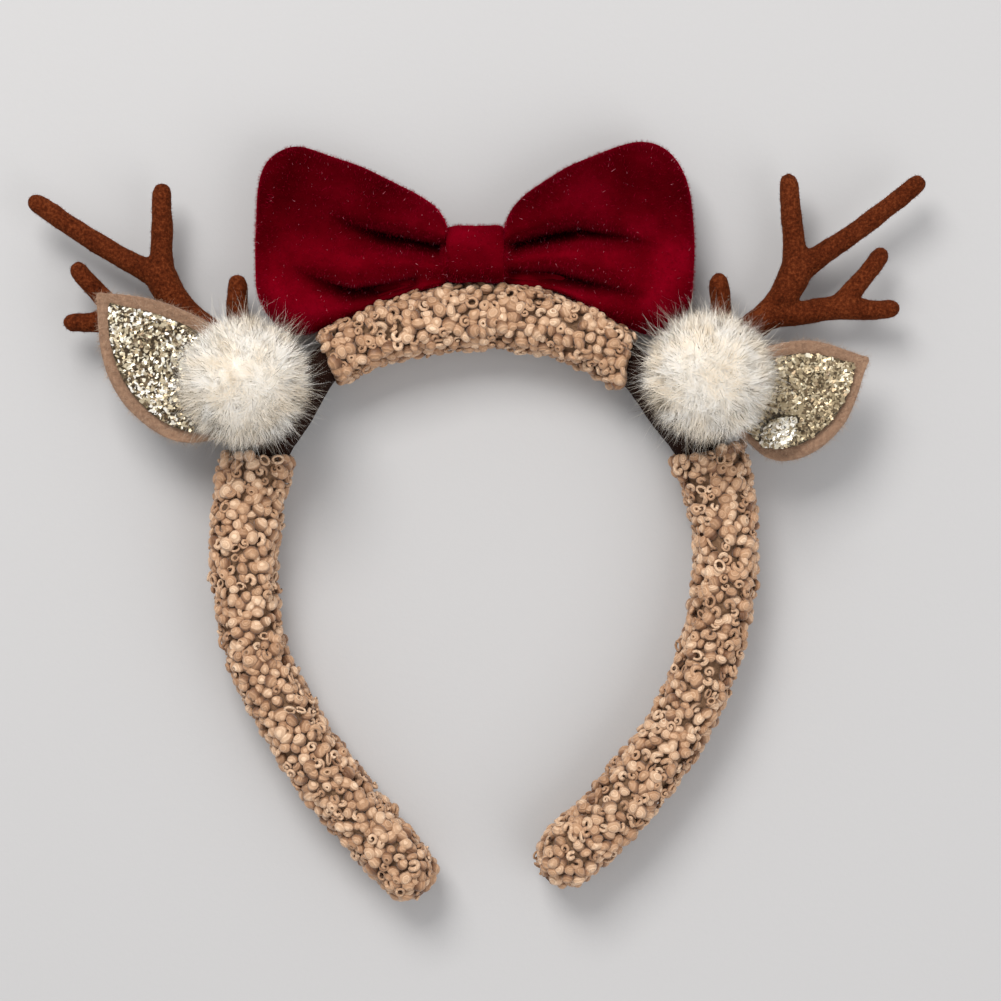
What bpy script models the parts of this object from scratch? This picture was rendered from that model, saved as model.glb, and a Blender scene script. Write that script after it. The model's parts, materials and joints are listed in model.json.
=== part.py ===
"""Reindeer antler headband, lying flat with its front up.

A padded U-shaped band carries three sleeves of curly pile, a velvet bow, two
branched antlers, two felt ears with glitter inlays and two fur balls.
Metres. +Y runs from the band's open end to the bow and +Z is up, towards the
front of the headband. It is modelled round the middle of the band's crown and
then moved so that the origin is the bottom centre of its box.
"""

import math

import bmesh
import bpy
from mathutils import Matrix, Vector, noise

# Shared sizes
CLEARANCE = 0.0003          # between pieces that touch on the real thing

# Band, measured on its centreline
BAND_HALF_WIDTH = 0.0678    # from the axis to a leg at its widest
BAND_LENGTH = 0.1593        # from the crown to the leg ends
CROWN_SLEEVE_LENGTH = 0.0885
SLEEVE_GAP = 0.0335         # bare band between the crown's sleeve and a leg's

# Sleeves of pile, and the padded core inside them
SLEEVE_WIDTH = 0.0190
SLEEVE_DEPTH = 0.0220
SLEEVE_WALL = 0.0024
TIP_ROUNDING = 0.0065
CROWN_LEAN = math.radians(20)  # of the crown sleeve's cut ends, from square
LEG_LEAN = math.radians(18)  # of the leg sleeves' cut tops, the other way
LEAN_FADE = 0.0300          # along a leg, from its leaning top to square sections
CORE_INSET = SLEEVE_WALL + CLEARANCE
CORE_TOP = SLEEVE_DEPTH - CORE_INSET
BAND_MIDDLE = SLEEVE_DEPTH / 2

# Bow
BOW_HALF_SPAN = 0.0619      # from the knot's middle to a wing's outer end
BOW_HEIGHT = 0.0549
BOW_DEPTH = 0.0250
BOW_WALL = 0.0015
BOW_DROP = 0.29             # share of its height that hangs below the knot
BOW_SHIFT = -0.0010         # the knot's middle, from the band's axis
BOW_SEAT_GAP = 0.0004       # between the bow and the pile that it is sewn to
CORNER_MARGIN = 0.0040      # beside the crown sleeve's corners, that the bow clears
KNOT_WIDTH = 0.0152
KNOT_HEIGHT = 0.0153
KNOT_DEPTH = 0.0205
KNOT_WALL = 0.0018

# Antlers
TINE_RADIUS = 0.00245
ANTLER_LIFT = 0.0030        # how far the tine ends stand forward
ANTLER_STUB = 0.0012        # of the trunk, straight out of the band

# Ears
EAR_WIDTH = 0.0335
FELT_THICKNESS = 0.0020
GLITTER_THICKNESS = 0.0010
EAR_BORDER = 0.0036         # felt left bare round the inlay
EAR_CUP = 0.0022            # how far the ear's edges curl up

# Fold of the right ear's inlay
FOLD_LENGTH = 0.0125
FOLD_WIDTH = 0.0082
FOLD_RISE = 0.0042
FOLD_TURN = math.radians(20)  # from the ear's own direction

# Fur balls
POMPOM_RADIUS = 0.0182
POMPOM_SUNK = 0.0085        # middle of the ball above its flat seat
LOCK_DEPTH = 0.0030         # from a lock's end to its root

# Sides of the meshes
BAND_SIDES = 12
WING_SIDES = 28
KNOT_SIDES = 16
EAR_COLUMNS = 6
STATION_STEP = 0.0088       # between two sections of the band

# The centreline of each leg, from the crown to the leg's end.
# Columns: out from the axis, as a share of BAND_HALF_WIDTH; down from the crown,
# as a share of BAND_LENGTH; width of the pile, as a share of SLEEVE_WIDTH.
CROWN = (0.000, 0.000, 0.95)
LEFT_LEG = (
    (0.326, 0.023, 0.91),
    (0.595, 0.070, 0.78),
    (0.760, 0.155, 0.98),
    (0.909, 0.244, 1.06),
    (0.946, 0.315, 1.03),
    (0.971, 0.402, 0.98),
    (0.965, 0.482, 0.94),
    (0.915, 0.606, 0.89),
    (0.816, 0.686, 0.88),
    (0.651, 0.801, 0.88),
    (0.384, 0.933, 0.88),
    (0.223, 1.011, 0.86),
)
RIGHT_LEG = (
    (0.314, 0.018, 0.91),
    (0.599, 0.077, 0.82),
    (0.773, 0.156, 0.98),
    (0.950, 0.250, 1.06),
    (1.016, 0.376, 0.94),
    (1.020, 0.441, 0.91),
    (1.003, 0.503, 0.90),
    (0.918, 0.643, 0.90),
    (0.770, 0.759, 0.90),
    (0.562, 0.867, 0.93),
    (0.360, 0.953, 0.92),
    (0.289, 0.991, 0.90),
)

# Sections of a bow wing, from the knot to the outer end.
# Columns: out from the knot's middle, as a share of BOW_HALF_SPAN; top and
# bottom edge above the bow's lowest level, as shares of BOW_HEIGHT; puff, as a
# share of BOW_DEPTH; places of the upper and the lower fold across the wing, from
# the bottom edge to the top edge; depth of the folds, as a share of BOW_DEPTH.
LEFT_WING = (
    (0.160, 0.655, 0.262, 0.62, 0.36, 0.10, 0.10),
    (0.242, 0.714, 0.262, 0.76, 0.39, 0.09, 0.16),
    (0.369, 0.791, 0.222, 0.90, 0.45, 0.10, 0.20),
    (0.495, 0.857, 0.150, 0.98, 0.48, 0.15, 0.19),
    (0.600, 0.900, 0.080, 1.00, 0.52, 0.18, 0.16),
    (0.686, 0.937, 0.020, 1.00, 0.56, 0.21, 0.13),
    (0.799, 0.986, 0.008, 0.94, 0.60, 0.25, 0.09),
    (0.889, 0.952, 0.062, 0.80, 0.63, 0.28, 0.05),
    (0.953, 0.886, 0.150, 0.60, 0.65, 0.30, 0.02),
    (0.986, 0.735, 0.255, 0.38, 0.66, 0.31, 0.00),
)
RIGHT_WING = (
    (0.160, 0.655, 0.275, 0.62, 0.36, 0.10, 0.10),
    (0.242, 0.745, 0.275, 0.76, 0.40, 0.10, 0.16),
    (0.345, 0.820, 0.258, 0.90, 0.44, 0.11, 0.20),
    (0.446, 0.883, 0.219, 0.98, 0.46, 0.14, 0.19),
    (0.540, 0.930, 0.150, 1.00, 0.48, 0.17, 0.16),
    (0.630, 0.968, 0.080, 1.00, 0.50, 0.20, 0.13),
    (0.735, 1.000, 0.008, 0.95, 0.54, 0.24, 0.09),
    (0.843, 0.982, 0.010, 0.84, 0.58, 0.28, 0.05),
    (0.930, 0.890, 0.092, 0.64, 0.62, 0.30, 0.02),
    (0.980, 0.690, 0.200, 0.40, 0.64, 0.31, 0.00),
)
FOLD_SPREAD = 0.075         # half width of a fold, as a share of the wing's height

# Sections of the knot. Columns: place from its left edge to its right edge, from
# -1 to 1; girth, as a share of the knot's height and depth.
KNOT_SECTIONS = (
    (-1.00, 0.93),
    (-0.78, 1.00),
    (-0.30, 0.965),
    (0.10, 1.00),
    (0.52, 0.96),
    (0.84, 1.00),
    (1.00, 0.93),
)

# Branches of an antler. Columns of a row: out along the antler's own X and Y from
# its root, as shares of its reach; radius, as a share of TINE_RADIUS.
ANTLER_BRANCHES = {
    "trunk": (
        (0.000, 0.000, 1.62),
        (0.120, 0.094, 1.50),
        (0.253, 0.199, 1.50),
        (0.302, 0.248, 1.54),
        (0.342, 0.307, 1.68),
        (0.366, 0.370, 1.70),
        (0.374, 0.400, 1.20),
    ),
    "long_tine": (
        (0.365, 0.355, 1.40),
        (0.450, 0.411, 1.16),
        (0.548, 0.477, 1.06),
        (0.676, 0.574, 1.00),
        (0.740, 0.627, 0.98),
    ),
    "upright_tine": (
        (0.362, 0.350, 1.40),
        (0.356, 0.445, 1.16),
        (0.347, 0.533, 1.08),
        (0.339, 0.632, 1.02),
    ),
    "lower_branch": (
        (0.270, 0.206, 1.20),
        (0.401, 0.226, 1.24),
        (0.499, 0.240, 1.24),
        (0.597, 0.231, 1.06),
        (0.660, 0.236, 0.92),
    ),
    "lower_fork": (
        (0.505, 0.252, 1.10),
        (0.588, 0.347, 0.99),
        (0.627, 0.401, 0.92),
    ),
    "brow_tine": (
        (0.112, 0.100, 1.20),
        (0.126, 0.205, 1.14),
        (0.119, 0.320, 1.00),
    ),
}

# Outline of each ear, from its root on the band to its tip.
# Columns: place along the ear, as a share of its reach; upper and lower edge from
# the ear's axis, as shares of EAR_WIDTH.
LEFT_EAR = (
    (0.000, 0.140, 0.140),
    (0.133, 0.160, 0.220),
    (0.236, 0.240, 0.480),
    (0.324, 0.325, 0.560),
    (0.404, 0.370, 0.597),
    (0.524, 0.397, 0.600),
    (0.644, 0.350, 0.560),
    (0.778, 0.262, 0.425),
    (0.867, 0.178, 0.280),
    (0.938, 0.088, 0.135),
    (1.000, 0.012, 0.018),
)
RIGHT_EAR = (
    (0.000, 0.140, 0.120),
    (0.122, 0.160, 0.130),
    (0.220, 0.220, 0.200),
    (0.268, 0.270, 0.295),
    (0.312, 0.300, 0.460),
    (0.380, 0.345, 0.565),
    (0.478, 0.365, 0.605),
    (0.580, 0.363, 0.596),
    (0.707, 0.328, 0.518),
    (0.805, 0.248, 0.405),
    (0.893, 0.142, 0.240),
    (0.956, 0.058, 0.088),
    (1.000, 0.012, 0.018),
)
EAR_FLAT_UNTIL = 0.58       # share of the reach that lies flat
INLAY_FROM = 0.10           # share of the reach where the inlay starts
INLAY_NARROWEST = 0.0004    # either side of the ear's axis, at the inlay's tip
FOLD_PLACE = (0.435, -0.34)  # middle of the fold, along the reach and across EAR_WIDTH
FOLD_COLUMNS = 8
FOLD_ROWS = 3

# What differs between the two sides. Seats are distances along the band from the
# crown's middle, reaches run from a root to the furthest tip, and a fur ball's out
# is its middle's distance outward from the band's centreline.
SIDES = {
    "left": {
        "sign": -1,
        "wing": LEFT_WING,
        "ear": LEFT_EAR,
        "antler_seat": 0.0572,
        "antler_reach": 0.0866,
        "antler_turn": math.radians(4.4),
        "ear_seat": 0.0703,
        "ear_rise": math.radians(38.8),
        "ear_reach": 0.0612,
        "pompom_seat": 0.0635,
        "pompom_out": 0.0132,
    },
    "right": {
        "sign": 1,
        "wing": RIGHT_WING,
        "ear": RIGHT_EAR,
        "antler_seat": 0.0591,
        "antler_reach": 0.0884,
        "antler_turn": 0.0,
        "ear_seat": 0.0672,
        "ear_rise": math.radians(18.8),
        "ear_reach": 0.0538,
        "pompom_seat": 0.0625,
        "pompom_out": 0.0124,
    },
}

# Finishes. Columns: colour, roughness, metallic, sheen.
FINISHES = {
    "band_cloth": ((0.022, 0.009, 0.006), 0.75, 0.0, 0.3),
    "curly_pile": ((0.62, 0.41, 0.25), 0.90, 0.0, 0.3),
    "red_velvet": ((0.16, 0.002, 0.008), 0.80, 0.0, 1.0),
    "white_fur": ((0.90, 0.86, 0.78), 0.85, 0.0, 0.4),
    "brown_flock": ((0.20, 0.055, 0.012), 0.90, 0.0, 0.5),
    "tan_felt": ((0.50, 0.29, 0.19), 0.95, 0.0, 0.3),
    "gold_glitter": ((0.60, 0.52, 0.32), 0.30, 0.8, 0.0),
}


def clear_scene():
    for thing in list(bpy.data.objects):
        bpy.data.objects.remove(thing, do_unlink=True)


def new_collection(name):
    made = bpy.data.collections.new(name)
    bpy.context.scene.collection.children.link(made)
    return made


def finish_material(name):
    """One Principled material from the table of finishes."""
    colour, roughness, metallic, sheen = FINISHES[name]
    material = bpy.data.materials.new(name)
    material.use_nodes = True
    shader = material.node_tree.nodes["Principled BSDF"]
    shader.inputs["Base Color"].default_value = (*colour, 1.0)
    shader.inputs["Roughness"].default_value = roughness
    shader.inputs["Metallic"].default_value = metallic
    shader.inputs["Sheen Weight"].default_value = sheen
    material.diffuse_color = (*colour, 1.0)
    return material


def add_object(name, mesh, collection, material=None):
    piece = bpy.data.objects.new(name, mesh)
    collection.objects.link(piece)
    if material:
        mesh.materials.append(material)
    return piece


def mesh_from(bm, name, crease_angle=math.radians(50)):
    mesh = bpy.data.meshes.new(name)
    bm.to_mesh(mesh)
    bm.free()
    mesh.shade_smooth()
    mesh.set_sharp_from_angle(angle=crease_angle)
    return mesh


def thicken(piece, wall, even=True):
    """Give an open surface a wall that grows inward from it."""
    shell = piece.modifiers.new("wall", "SOLIDIFY")
    shell.thickness = wall
    shell.offset = -1.0
    shell.use_even_offset = even


def smooth_line(points, steps):
    """Catmull-Rom curve through the points, with a number of steps to each span."""
    first = 2 * points[0] - points[1]
    last = 2 * points[-1] - points[-2]
    through = [first, *points, last]
    line = []
    for before, start, end, after in zip(through, through[1:], through[2:], through[3:]):
        for step in range(steps):
            t = step / steps
            line.append(0.5 * (
                2 * start
                + (end - before) * t
                + (2 * before - 5 * start + 4 * end - after) * t ** 2
                + (3 * start - before - 3 * end + after) * t ** 3
            ))
    line.append(points[-1].copy())
    return line


class BandLine:
    """The band's centreline, read by the distance from the crown's middle.

    Distances are negative on the left and positive on the right. A row of its
    table becomes a point whose Z carries the width there, so that one smooth line
    runs through both.
    """

    def __init__(self):
        rows = [(-out, down, width) for out, down, width in reversed(LEFT_LEG)]
        rows += [CROWN, *RIGHT_LEG]
        steps = 10
        through = [Vector((out * BAND_HALF_WIDTH, -down * BAND_LENGTH, width * SLEEVE_WIDTH))
                   for out, down, width in rows]
        smooth = smooth_line(through, steps)
        self.points = [Vector((point.x, point.y, 0)) for point in smooth]
        self.widths = [point.z for point in smooth]
        places = [0.0]
        for here, there in zip(self.points, self.points[1:]):
            places.append(places[-1] + (there - here).length)
        crown = places[len(LEFT_LEG) * steps]
        self.places = [place - crown for place in places]

    def length(self, side):
        """From the crown's middle to the end of one leg."""
        return self.places[-1] if SIDES[side]["sign"] > 0 else -self.places[0]

    def at(self, distance):
        """Point, outward direction and width at a distance from the crown's middle."""
        k = 1
        while k < len(self.places) - 1 and self.places[k] < distance:
            k += 1
        here, there = self.points[k - 1], self.points[k]
        share = (distance - self.places[k - 1]) / (self.places[k] - self.places[k - 1])
        heading = (self.points[min(k + 1, len(self.points) - 1)]
                   - self.points[max(k - 2, 0)]).normalized()
        outward = Vector((-heading.y, heading.x, 0))
        width = self.widths[k - 1] + (self.widths[k] - self.widths[k - 1]) * share
        return here.lerp(there, share), outward, width

    def lean(self, distance):
        """How far a section leans from square, which shows at the sleeves' cut ends."""
        half = CROWN_SLEEVE_LENGTH / 2
        beyond = abs(distance) - half
        past_top = beyond - SLEEVE_GAP
        if beyond <= 0:
            lean = CROWN_LEAN * (abs(distance) / half) ** 3
        elif past_top <= 0:
            lean = CROWN_LEAN - (CROWN_LEAN + LEG_LEAN) * beyond / SLEEVE_GAP
        else:
            lean = -LEG_LEAN * max(0.0, 1 - past_top / LEAN_FADE)
        return math.copysign(1, distance) * lean

    def edge(self, distance, inset=0.0):
        """The outermost point of the section at a distance from the crown's middle."""
        point, outward, width = self.at(distance)
        lean = self.lean(distance)
        leaning = Matrix.Rotation(lean, 3, "Z") @ outward
        return point + leaning * (width / 2 - inset) / math.cos(lean)


def rounded_section(half_width, half_depth, sides, fullness=2.6):
    """A closed section with rounded corners, and a level bottom and top edge."""
    corners = []
    for k in range(sides):
        angle = 2 * math.pi * (k + 0.5) / sides - math.pi / 2
        cosine, sine = math.cos(angle), math.sin(angle)
        side = math.copysign(abs(cosine) ** (2 / fullness), cosine)
        height = math.copysign(abs(sine) ** (2 / fullness), sine)
        corners.append((side, height))
    widest = max(side for side, height in corners)
    tallest = max(height for side, height in corners)
    return [(side / widest * half_width, height / tallest * half_depth)
            for side, height in corners]


def loft(name, rings, first="open", last="open"):
    """A skin over rings that turn right-handed about their direction of travel.

    An end is open, flat or, for a rounded end, brought to a point.
    """
    bm = bmesh.new()
    loops = [[bm.verts.new(point) for point in ring] for ring in rings]
    for here, there in zip(loops, loops[1:]):
        for k in range(len(here)):
            following = (k + 1) % len(here)
            bm.faces.new((here[k], here[following], there[following], there[k]))
    for loop, end, turn in ((loops[0], first, -1), (loops[-1], last, 1)):
        ordered = loop[::turn]
        if end == "flat":
            bm.faces.new(ordered)
        if end == "point":
            middle = sum((vert.co for vert in loop), Vector()) / len(loop)
            peak = bm.verts.new(middle)
            for k in range(len(ordered)):
                bm.faces.new((ordered[k], ordered[(k + 1) % len(ordered)], peak))
    bm.normal_update()
    return mesh_from(bm, name)


def evenly(start, end, step):
    """Distances from start to end, at most a step apart."""
    spans = max(1, math.ceil(abs(end - start) / step))
    return [start + (end - start) * k / spans for k in range(spans + 1)]


def band_ring(band, distance, inset=0.0, scale=1.0):
    """A section of the band, drawn in by an inset from the pile's outer face."""
    point, outward, width = band.at(distance)
    lean = band.lean(distance)
    leaning = Matrix.Rotation(lean, 3, "Z") @ outward / math.cos(lean)
    section = rounded_section(width / 2 - inset, SLEEVE_DEPTH / 2 - inset, BAND_SIDES)
    return [point + leaning * side * scale + Vector((0, 0, BAND_MIDDLE + height * scale))
            for side, height in section]


def crown_stations():
    half = CROWN_SLEEVE_LENGTH / 2
    return evenly(-half, half, STATION_STEP)


def leg_stations(band, side):
    """Distances along one leg's sleeve, up to where its end starts to round over."""
    top = CROWN_SLEEVE_LENGTH / 2 + SLEEVE_GAP
    return evenly(top, band.length(side) - TIP_ROUNDING, STATION_STEP)


def build_core(band, parts, material):
    """The core's sections lie at the sleeves' own, so that it fits inside them."""
    left, right = (leg_stations(band, side)[:-1] for side in ("left", "right"))
    half = CROWN_SLEEVE_LENGTH / 2
    bare = evenly(half, half + SLEEVE_GAP, STATION_STEP)[1:-1]
    distances = (
        [-distance for distance in reversed(bare + left)] + crown_stations() + bare + right
    )
    rings = [band_ring(band, distance, CORE_INSET) for distance in distances]
    add_object("band_core", loft("band_core", rings, "flat", "flat"), parts, material)


def build_crown_sleeve(band, parts, material):
    rings = [band_ring(band, distance) for distance in crown_stations()]
    piece = add_object("sleeve_crown", loft("sleeve_crown", rings), parts, material)
    thicken(piece, SLEEVE_WALL)


def build_leg_sleeve(band, side, parts, material):
    """A sleeve that is open at its top and rounded over at the leg's end."""
    sign = SIDES[side]["sign"]
    straight = leg_stations(band, side)
    stations = [(distance, 1.0) for distance in straight]
    for degrees in (30, 55, 75):
        turn = math.radians(degrees)
        stations.append((straight[-1] + TIP_ROUNDING * math.sin(turn), math.cos(turn)))
    rings = [band_ring(band, sign * distance, 0.0, scale) for distance, scale in stations]
    if sign < 0:
        rings = [ring[::-1] for ring in rings]
    name = f"sleeve_{side}"
    piece = add_object(name, loft(name, rings, "open", "point"), parts, material)
    thicken(piece, SLEEVE_WALL)


def crown_edge(band, x):
    """Height in Y of the crown sleeve's outer edge at x, or None well beside it."""
    half = CROWN_SLEEVE_LENGTH / 2
    edge = [band.edge(distance) for distance in evenly(-half, half, STATION_STEP / 4)]
    for here, there in zip(edge, edge[1:]):
        if here.x <= x <= there.x:
            return here.y + (there.y - here.y) * (x - here.x) / (there.x - here.x)
    for corner in (edge[0], edge[-1]):
        if abs(x - corner.x) < CORNER_MARGIN:
            return corner.y
    return None


def knot_bottom(band):
    """The knot rests on the highest point of the pile below it."""
    below = [crown_edge(band, BOW_SHIFT + side * KNOT_WIDTH / 2) for side in (-1, 0, 1)]
    return max(below) + BOW_SEAT_GAP


def build_knot(band, parts, material):
    """The strap round the bow's middle: a ring about the X axis."""
    middle = Vector((BOW_SHIFT, knot_bottom(band) + KNOT_HEIGHT / 2, BOW_DEPTH / 2))
    section = rounded_section(KNOT_HEIGHT / 2, KNOT_DEPTH / 2, KNOT_SIDES, 2.8)
    rings = [[middle + Vector((place * KNOT_WIDTH / 2, across * girth, height * girth))
              for across, height in section]
             for place, girth in KNOT_SECTIONS]
    piece = add_object("bow_knot", loft("bow_knot", rings), parts, material)
    thicken(piece, KNOT_WALL)


def wing_ring(x, middle_y, half_height, half_depth, folds=(), fold_depth=0.0):
    """One section of a wing in Y and Z, with the folds pressed into both faces."""
    ring = []
    for across, height in rounded_section(1.0, 1.0, WING_SIDES, 2.15):
        place = (across + 1) / 2
        pressed = sum(math.exp(-((place - fold) / FOLD_SPREAD) ** 2) for fold in folds)
        face = math.copysign(min(1.0, abs(height) * 2), height)
        ring.append(Vector((
            x,
            middle_y + across * half_height,
            BOW_DEPTH / 2 + height * half_depth - face * pressed * fold_depth,
        )))
    return ring


def build_wing(band, side, parts, material):
    """A hollow velvet loop that is open at its neck, inside the knot."""
    sign = SIDES[side]["sign"]
    lowest = knot_bottom(band) - BOW_DROP * BOW_HEIGHT
    inside = KNOT_WALL + CLEARANCE
    slimmest = min(girth for place, girth in KNOT_SECTIONS)
    neck_height = KNOT_HEIGHT * slimmest / 2 - inside
    neck_depth = KNOT_DEPTH * slimmest / 2 - inside
    neck_y = knot_bottom(band) + KNOT_HEIGHT / 2
    rings = [wing_ring(BOW_SHIFT + sign * x, neck_y, neck_height, neck_depth)
             for x in (CLEARANCE, KNOT_WIDTH / 2 + CLEARANCE)]
    shoulder = BOW_SHIFT + sign * (KNOT_WIDTH / 2 + 2 * CLEARANCE)
    rings.append(wing_ring(shoulder, neck_y, KNOT_HEIGHT / 2, KNOT_DEPTH / 2))
    for out, top, bottom, puff, upper, lower, depth in SIDES[side]["wing"]:
        x = BOW_SHIFT + sign * out * BOW_HALF_SPAN
        top_y = lowest + top * BOW_HEIGHT
        bottom_y = lowest + bottom * BOW_HEIGHT
        edge = crown_edge(band, x)
        if edge is not None:
            bottom_y = max(bottom_y, edge + BOW_SEAT_GAP)
        rings.append(wing_ring(
            x, (top_y + bottom_y) / 2, (top_y - bottom_y) / 2,
            puff * BOW_DEPTH / 2, (upper, lower), depth * BOW_DEPTH))
    if sign < 0:
        rings = [ring[::-1] for ring in rings]
    name = f"bow_wing_{side}"
    piece = add_object(name, loft(name, rings, "open", "point"), parts, material)
    thicken(piece, BOW_WALL)


def antler_tube(name, points, radii, collection):
    """A tapered tube with a rounded end, as a closed mesh."""
    line = bpy.data.curves.new(name, "CURVE")
    line.dimensions = "3D"
    line.bevel_depth = 1.0
    line.bevel_resolution = 2
    line.use_fill_caps = True
    heading = (points[-1] - points[-2]).normalized()
    end, thick = points[-1], radii[-1]
    stations = list(zip(points, radii))
    for degrees in (35, 62, 80):
        turn = math.radians(degrees)
        stations.append((end + heading * thick * math.sin(turn), thick * math.cos(turn)))
    spline = line.splines.new("POLY")
    spline.points.add(len(stations) - 1)
    for knot, (point, radius) in zip(spline.points, stations):
        knot.co = (*point, 1.0)
        knot.radius = radius
    drawn = add_object(name, line, collection)
    depsgraph = bpy.context.evaluated_depsgraph_get()
    mesh = bpy.data.meshes.new_from_object(drawn.evaluated_get(depsgraph))
    bpy.data.objects.remove(drawn, do_unlink=True)
    bm = bmesh.new()
    bm.from_mesh(mesh)
    bmesh.ops.remove_doubles(bm, verts=bm.verts, dist=1e-6)
    return add_object(name, mesh_from(bm, name), collection)


def build_antler(band, side, parts, cutters, material):
    """Branches joined into one solid, level with the middle of the band.

    The trunk starts at the outer wall of the band's core, with its end flat to it.
    """
    sign = SIDES[side]["sign"]
    seat = sign * SIDES[side]["antler_seat"]
    outward = band.at(seat)[1]
    root = band.edge(seat, CORE_INSET - 2 * CLEARANCE)
    reach = SIDES[side]["antler_reach"]
    turn = SIDES[side]["antler_turn"]
    pieces = []
    for branch, rows in ANTLER_BRANCHES.items():
        points = []
        radii = []
        for out, along, thickness in rows:
            x = out * math.cos(turn) + along * math.sin(turn)
            y = along * math.cos(turn) - out * math.sin(turn)
            lift = ANTLER_LIFT * (out ** 2 + along ** 2)
            points.append(root + Vector((
                sign * x * reach, y * reach, BAND_MIDDLE + lift)))
            radii.append(Vector((thickness * TINE_RADIUS, 0, 0)))
        steps = 2
        line = smooth_line(points, steps)
        widths = [radius.x for radius in smooth_line(radii, steps)]
        if branch == "trunk":
            line.insert(1, line[0] + outward * ANTLER_STUB)
            widths.insert(1, widths[0])
        pieces.append(antler_tube(f"{branch}_{side}", line, widths, cutters))
    antler = pieces[0]
    antler.name = f"antler_{side}"
    antler.data.name = antler.name
    cutters.objects.unlink(antler)
    parts.objects.link(antler)
    antler.data.materials.append(material)
    for branch in pieces[1:]:
        branch.hide_render = True
        branch.display_type = "WIRE"
        joined = antler.modifiers.new(branch.name, "BOOLEAN")
        joined.operation = "UNION"
        joined.solver = "EXACT"
        joined.object = branch


def ear_frame(band, side):
    """The ear's root on the core's top, and its directions along and across."""
    sign = SIDES[side]["sign"]
    rise = SIDES[side]["ear_rise"]
    root = band.at(sign * SIDES[side]["ear_seat"])[0]
    along = Vector((sign * math.cos(rise), math.sin(rise), 0))
    up_side = Vector((-sign * math.sin(rise), math.cos(rise), 0))
    return root, along, up_side


def ear_height(share, offset):
    """How far the ear's surface stands above its flat root."""
    free = max(0.0, share - EAR_FLAT_UNTIL) / (1 - EAR_FLAT_UNTIL)
    across = offset / (EAR_WIDTH / 2)
    return EAR_CUP * math.sin(free * math.pi / 2) * (0.4 + across ** 2)


def ear_sheet(name, band, side, outline, surface, thickness, parts, material):
    """A felt or glitter sheet whose upper face follows the ear's cupped surface."""
    root, along, up_side = ear_frame(band, side)
    reach = SIDES[side]["ear_reach"]
    bm = bmesh.new()
    rows = []
    for share, upper, lower in outline:
        row = []
        for column in range(EAR_COLUMNS + 1):
            across = 2 * column / EAR_COLUMNS - 1
            offset = across * upper if across > 0 else across * lower
            height = surface + ear_height(share, offset)
            row.append(bm.verts.new(
                root + along * share * reach + up_side * offset + Vector((0, 0, height))))
        rows.append(row)
    turn = SIDES[side]["sign"]
    for here, there in zip(rows, rows[1:]):
        for k in range(EAR_COLUMNS):
            corners = (here[k], there[k], there[k + 1], here[k + 1])
            bm.faces.new(corners[::turn])
    bm.normal_update()
    piece = add_object(name, mesh_from(bm, name), parts, material)
    thicken(piece, thickness, even=False)


def felt_outline(side):
    return [(share, upper * EAR_WIDTH, lower * EAR_WIDTH)
            for share, upper, lower in SIDES[side]["ear"]]


def inlay_outline(side):
    """The felt's outline drawn in by the border, from under the fur ball to the tip."""
    reach = SIDES[side]["ear_reach"]
    tip = 1 - 1.25 * EAR_BORDER / reach
    outline = []
    for share, upper, lower in felt_outline(side):
        if share < INLAY_FROM:
            continue
        drawn_in = EAR_BORDER * (1 + 0.25 * share ** 4)
        outline.append((
            min(share, tip),
            max(upper - drawn_in, INLAY_NARROWEST),
            max(lower - drawn_in, INLAY_NARROWEST),
        ))
    return [row for k, row in enumerate(outline) if k == 0 or row[0] > outline[k - 1][0]]


def felt_top():
    return CORE_TOP + CLEARANCE + FELT_THICKNESS


def glitter_top():
    return felt_top() + CLEARANCE + GLITTER_THICKNESS


def build_ear(band, side, parts, felt, glitter):
    ear_sheet(f"ear_{side}_felt", band, side, felt_outline(side), felt_top(),
              FELT_THICKNESS, parts, felt)
    ear_sheet(f"ear_{side}_glitter", band, side, inlay_outline(side), glitter_top(),
              GLITTER_THICKNESS, parts, glitter)


def build_fold(band, parts, material):
    """A leaf of the inlay that is hinged at its upper edge and lifts at its lower one."""
    root, along, up_side = ear_frame(band, "right")
    place, across = FOLD_PLACE
    middle = root + along * place * SIDES["right"]["ear_reach"] + up_side * across * EAR_WIDTH
    turned = Matrix.Rotation(FOLD_TURN, 3, "Z")
    along, up_side = turned @ along, turned @ up_side
    seat = glitter_top() + CLEARANCE + GLITTER_THICKNESS
    bm = bmesh.new()
    columns = []
    for column in range(FOLD_COLUMNS + 1):
        t = 2 * column / FOLD_COLUMNS - 1
        leaf = 0.12 + 0.88 * (1 - t * t)
        line = []
        for row in range(FOLD_ROWS + 1):
            drop = row / FOLD_ROWS
            offset = (0.5 - drop) * FOLD_WIDTH * leaf
            lift = FOLD_RISE * (1 - t * t) * math.sin(drop * math.pi / 2)
            place = middle + along * t * FOLD_LENGTH / 2 + up_side * offset
            line.append(bm.verts.new(place + Vector((0, 0, seat + lift))))
        columns.append(line)
    for here, there in zip(columns, columns[1:]):
        for k in range(FOLD_ROWS):
            bm.faces.new((here[k], here[k + 1], there[k + 1], there[k]))
    bm.normal_update()
    piece = add_object("ear_right_fold", mesh_from(bm, "ear_right_fold"), parts, material)
    thicken(piece, GLITTER_THICKNESS, even=False)


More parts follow.
